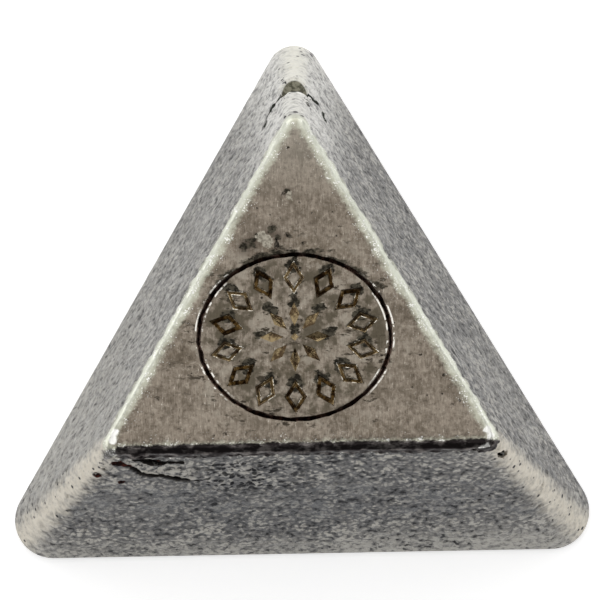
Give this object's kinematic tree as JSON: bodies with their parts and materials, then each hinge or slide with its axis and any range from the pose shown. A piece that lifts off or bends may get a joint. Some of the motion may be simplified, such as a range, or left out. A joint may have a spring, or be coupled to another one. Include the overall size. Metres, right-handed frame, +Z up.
{
  "type": "metal ingot",
  "caption": "Poured silver ingot: a three-sided drafted block with rounded ridges, a brushed top face struck with an oval line, sand-textured walls and pour laps.",
  "frame": {"origin": "centre of the flat resting face, on the vertical line through the middle of the triangle", "axes": "+Z up out of the struck face, -Y towards the front wall, +Y towards the rear ridge, +X to the right"},
  "size_m": [0.045, 0.0407, 0.0209],
  "materials": {
    "silver": "cast fine silver with dark tarnish in the sand texture of the walls, worn bright on the ridges and the rim, and a brushed warm grey top"
  },
  "bodies": {
    "root": {"ingot": "silver"}
  },
  "joints": []
}
